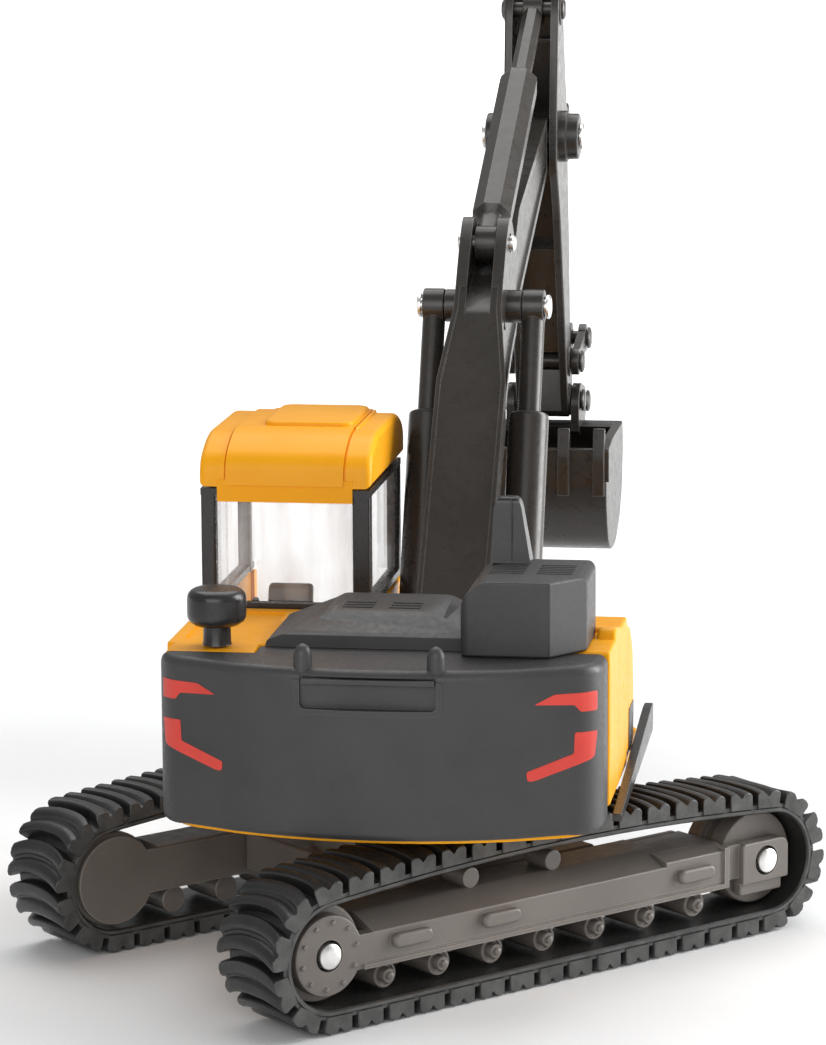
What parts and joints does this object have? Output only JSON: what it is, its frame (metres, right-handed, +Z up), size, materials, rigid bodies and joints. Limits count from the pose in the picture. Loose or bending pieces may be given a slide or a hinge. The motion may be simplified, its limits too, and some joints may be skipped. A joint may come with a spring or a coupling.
{
  "type": "toy tracked excavator",
  "caption": "Toy tracked excavator with rubber crawler belts, slewing house with cab and counterweight, and a jointed boom, stick and toothed bucket moved by cylinders.",
  "frame": {"origin": "middle of the base of the bounding box, on the ground under the belts", "axes": "+X is the undercarriage's forward direction (idler end), +Y its left, +Z up; the house is slewed 43.5 degrees to its left at rest"},
  "size_m": [0.1432, 0.1268, 0.1204],
  "materials": {
    "yellow_paint": "gloss",
    "grey_paint": "satin",
    "black_plastic": "semi-gloss",
    "arm_plastic": "semi-gloss",
    "frame_plastic": "satin",
    "rubber": "satin",
    "steel": "polished",
    "clear_glazing": "gloss",
    "seat_plastic": "satin",
    "red_print": "satin"
  },
  "bodies": {
    "chassis": {"carbody": "frame_plastic", "slew_ring": "black_plastic", "slew_rivet": "steel", "track_frame_left": "frame_plastic", "rubber_track_left": "rubber", "drive_rivet_left": "steel", "idler_rivet_left": "steel", "track_frame_right": "frame_plastic", "rubber_track_right": "rubber", "drive_rivet_right": "steel", "idler_rivet_right": "steel"},
    "drive_wheel_left": {"drive_wheel_left": "frame_plastic"},
    "drive_wheel_right": {"drive_wheel_right": "frame_plastic"},
    "idler_wheel_left": {"idler_wheel_left": "frame_plastic"},
    "idler_wheel_right": {"idler_wheel_right": "frame_plastic"},
    "house": {"swing_frame": "yellow_paint", "body_shell": "yellow_paint", "counterweight": "grey_paint", "engine_cover": "grey_paint", "exhaust_stack": "black_plastic", "precleaner": "black_plastic", "side_step": "black_plastic", "cab_body": "yellow_paint", "cab_frame": "black_plastic", "cab_glazing": "clear_glazing", "cab_roof": "yellow_paint", "cab_seat": "seat_plastic", "cab_console_left": "seat_plastic", "cab_console_right": "seat_plastic", "boom_foot_pin": "steel", "lift_foot_pin": "steel"},
    "boom": {"boom": "arm_plastic", "lift_top_pin": "steel", "crowd_foot_pin": "steel", "boom_tip_pin": "steel"},
    "lift_barrel_left": {"lift_barrel_left": "arm_plastic"},
    "lift_barrel_right": {"lift_barrel_right": "arm_plastic"},
    "lift_rod_left": {"lift_rod_left": "arm_plastic"},
    "lift_rod_right": {"lift_rod_right": "arm_plastic"},
    "crowd_barrel": {"crowd_barrel": "arm_plastic"},
    "crowd_rod": {"crowd_rod": "arm_plastic"},
    "stick": {"stick": "arm_plastic", "crowd_top_pin": "arm_plastic", "tilt_foot_pin": "arm_plastic", "rocker_pin": "arm_plastic", "bucket_pin": "arm_plastic"},
    "tilt_barrel": {"tilt_barrel": "arm_plastic"},
    "tilt_rod": {"tilt_rod": "arm_plastic"},
    "rocker": {"rocker_left": "arm_plastic", "rocker_right": "arm_plastic", "rocker_tip_pin": "arm_plastic"},
    "push_link": {"push_link": "arm_plastic"},
    "bucket": {"bucket": "arm_plastic", "bucket_link_pin": "arm_plastic"}
  },
  "joints": [
    {"name": "house_swing", "type": "hinge", "parent": "chassis", "child": "house", "pos_m": [-0.02524, -0.02338, 0.022], "axis": [0, 0, 1], "continuous": true},
    {"name": "drive_left", "type": "hinge", "parent": "chassis", "child": "drive_wheel_left", "pos_m": [-0.06184, -0.00078, 0.00975], "axis": [0, 1, 0], "continuous": true},
    {"name": "idler_left", "type": "hinge", "parent": "chassis", "child": "idler_wheel_left", "pos_m": [0.01136, -0.00078, 0.00975], "axis": [0, 1, 0], "continuous": true},
    {"name": "drive_right", "type": "hinge", "parent": "chassis", "child": "drive_wheel_right", "pos_m": [-0.06184, -0.04598, 0.00975], "axis": [0, 1, 0], "continuous": true},
    {"name": "idler_right", "type": "hinge", "parent": "chassis", "child": "idler_wheel_right", "pos_m": [0.01136, -0.04598, 0.00975], "axis": [0, 1, 0], "continuous": true},
    {"name": "boom_lift", "type": "hinge", "parent": "house", "child": "boom", "pos_m": [-0.01958, -0.02353, 0.036], "axis": [-0.6884, 0.7254, 0], "range_deg": [-8, 30]},
    {"name": "lift_barrel_left_pivot", "type": "hinge", "parent": "house", "child": "lift_barrel_left", "pos_m": [-0.0157, -0.01019, 0.028], "axis": [-0.6884, 0.7254, 0], "range_deg": [-8.6, 30.8]},
    {"name": "lift_rod_left_pivot", "type": "hinge", "parent": "boom", "child": "lift_rod_left", "pos_m": [0.00063, 0.00529, 0.0799], "axis": [-0.6884, 0.7254, 0], "range_deg": [-0.6, 0.8]},
    {"name": "lift_barrel_right_pivot", "type": "hinge", "parent": "house", "child": "lift_barrel_right", "pos_m": [-0.00606, -0.02035, 0.028], "axis": [-0.6884, 0.7254, 0], "range_deg": [-8.6, 30.8]},
    {"name": "lift_rod_right_pivot", "type": "hinge", "parent": "boom", "child": "lift_rod_right", "pos_m": [0.01026, -0.00486, 0.0799], "axis": [-0.6884, 0.7254, 0], "range_deg": [-0.6, 0.8]},
    {"name": "stick_swing", "type": "hinge", "parent": "boom", "child": "stick", "pos_m": [0.0486, 0.04117, 0.0984], "axis": [-0.6884, 0.7254, 0], "range_deg": [-35, 10]},
    {"name": "crowd_barrel_pivot", "type": "hinge", "parent": "boom", "child": "crowd_barrel", "pos_m": [0.00769, 0.00235, 0.0884], "axis": [-0.6884, 0.7254, 0], "range_deg": [-3.8, 1.5]},
    {"name": "crowd_rod_pivot", "type": "hinge", "parent": "stick", "child": "crowd_rod", "pos_m": [0.04904, 0.04159, 0.1176], "axis": [-0.6884, 0.7254, 0], "range_deg": [-9.7, 32.5]},
    {"name": "bucket_curl", "type": "hinge", "parent": "stick", "child": "bucket", "pos_m": [0.05912, 0.05115, 0.0556], "axis": [-0.6884, 0.7254, 0], "range_deg": [-60, 10]},
    {"name": "rocker_pivot", "type": "hinge", "parent": "stick", "child": "rocker", "pos_m": [0.05818, 0.05026, 0.0619], "axis": [-0.6884, 0.7254, 0], "range_deg": [-46.9, 8.3]},
    {"name": "push_link_pivot", "type": "hinge", "parent": "rocker", "child": "push_link", "pos_m": [0.06587, 0.05756, 0.0642], "axis": [-0.6884, 0.7254, 0], "range_deg": [-5.8, 32]},
    {"name": "tilt_barrel_pivot", "type": "hinge", "parent": "stick", "child": "tilt_barrel", "pos_m": [0.0584, 0.05047, 0.101], "axis": [-0.6884, 0.7254, 0], "range_deg": [-1.3, 4.8]},
    {"name": "tilt_rod_pivot", "type": "hinge", "parent": "rocker", "child": "tilt_rod", "pos_m": [0.06587, 0.05756, 0.0642], "axis": [-0.6884, 0.7254, 0], "range_deg": [-9, 51.1]}
  ],
  "couplings": [
    {"joint": "idler_left", "follows": "drive_left", "ratio": 1},
    {"joint": "idler_right", "follows": "drive_right", "ratio": 1},
    {"joint": "lift_barrel_left_pivot", "follows": "boom_lift", "ratio": 1.006},
    {"joint": "lift_rod_left_pivot", "follows": "boom_lift", "ratio": 0.006},
    {"joint": "lift_barrel_right_pivot", "follows": "boom_lift", "ratio": 1.006},
    {"joint": "lift_rod_right_pivot", "follows": "boom_lift", "ratio": 0.006},
    {"joint": "crowd_barrel_pivot", "follows": "stick_swing", "ratio": 0.091},
    {"joint": "crowd_rod_pivot", "follows": "stick_swing", "ratio": -0.91},
    {"joint": "rocker_pivot", "follows": "bucket_curl", "ratio": 0.771},
    {"joint": "push_link_pivot", "follows": "bucket_curl", "ratio": -0.524},
    {"joint": "tilt_barrel_pivot", "follows": "bucket_curl", "ratio": -0.07},
    {"joint": "tilt_rod_pivot", "follows": "bucket_curl", "ratio": -0.841}
  ]
}
